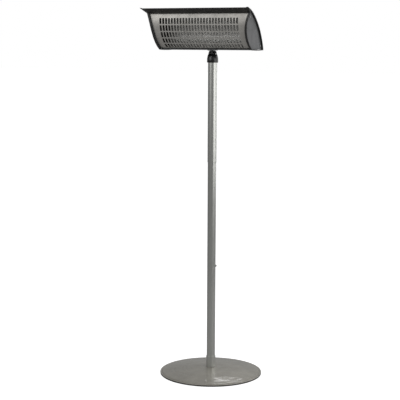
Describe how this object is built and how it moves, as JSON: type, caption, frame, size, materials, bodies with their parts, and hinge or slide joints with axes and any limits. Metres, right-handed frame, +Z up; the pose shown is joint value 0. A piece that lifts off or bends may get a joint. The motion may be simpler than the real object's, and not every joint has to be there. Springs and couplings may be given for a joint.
{
  "type": "free-standing infrared patio heater",
  "caption": "Free-standing electric patio heater: round weighted base, jointed tubular pole and a tilting infrared head with flared ends behind a curved slotted grille.",
  "frame": {"origin": "centre of the round base, on the floor", "axes": "+Z up along the pole, -Y the way the head faces at rest, X along the head"},
  "size_m": [0.619, 0.55, 1.9648],
  "materials": {
    "base_paint": "satin metallic grey-beige powder coat",
    "cast_iron": "rough casting",
    "steel": "zinc plated",
    "rubber": "matte",
    "pole_paint": "satin metallic silver-grey",
    "black_plastic": "moulded, semi-gloss",
    "hood_paint": "fine-grained dark grey powder coat",
    "visor_paint": "fine-grained dark powder coat",
    "end_paint": "satin mid grey powder coat",
    "trim_paint": "dark satin",
    "grille_paint": "satin silver-grey",
    "mirror_aluminium": "polished reflector sheet",
    "dark_steel": "heat-darkened matte",
    "quartz": "clear fused quartz",
    "tungsten": "coiled wire",
    "ceramic": "unglazed ceramic",
    "nylon": "natural nylon"
  },
  "bodies": {
    "stand": {"base_bolt": "steel", "base_cover": "base_paint", "base_nut": "steel", "base_under_plate": "steel", "base_washer": "steel", "base_weight": "cast_iron", "rubber_foot_1": "rubber", "rubber_foot_2": "rubber", "rubber_foot_3": "rubber", "rubber_foot_4": "rubber", "pole_flange": "steel", "pole_collar": "pole_paint", "lower_tube": "pole_paint", "middle_tube": "pole_paint", "upper_tube": "pole_paint", "lower_joint_sleeve": "steel", "upper_joint_sleeve": "steel", "lower_joint_screw": "steel", "upper_joint_screw": "steel", "pole_cap": "black_plastic", "cap_screw": "steel", "pivot_bolt": "steel", "pivot_nut": "steel", "friction_washer_left": "nylon", "friction_washer_right": "nylon"},
    "head": {"tilt_lug": "black_plastic", "lug_bolt_front": "steel", "lug_bolt_rear": "steel", "bottom_plate": "hood_paint", "hood_shell": "hood_paint", "visor_lip": "visor_paint", "end_plate_left": "end_paint", "end_plate_right": "end_paint", "end_trim_left": "trim_paint", "end_trim_right": "trim_paint", "end_screw_left_1": "steel", "end_screw_left_2": "steel", "end_screw_right_1": "steel", "end_screw_right_2": "steel", "front_grille": "grille_paint", "reflector": "mirror_aluminium", "side_wall_left": "dark_steel", "side_wall_right": "dark_steel", "lamp_tube_upper": "quartz", "lamp_tube_middle": "quartz", "lamp_tube_lower": "quartz", "filament_upper": "tungsten", "filament_middle": "tungsten", "filament_lower": "tungsten", "lamp_carrier_left": "ceramic", "lamp_carrier_right": "ceramic", "terminal_block": "ceramic", "tip_over_switch": "black_plastic", "thermal_cutout": "black_plastic", "cable_gland": "black_plastic", "gland_nut": "black_plastic", "switch_housing": "black_plastic"},
    "rocker": {"switch_rocker": "black_plastic"}
  },
  "joints": [
    {"name": "head_tilt", "type": "hinge", "parent": "stand", "child": "head", "pos_m": [0, 0, 1.729], "axis": [1, 0, 0], "range_deg": [-15, 40]},
    {"name": "switch_rock", "type": "hinge", "parent": "head", "child": "rocker", "pos_m": [-0.26237, -0.035, 1.785], "axis": [0, 1, 0], "range_deg": [-16, 0]}
  ]
}
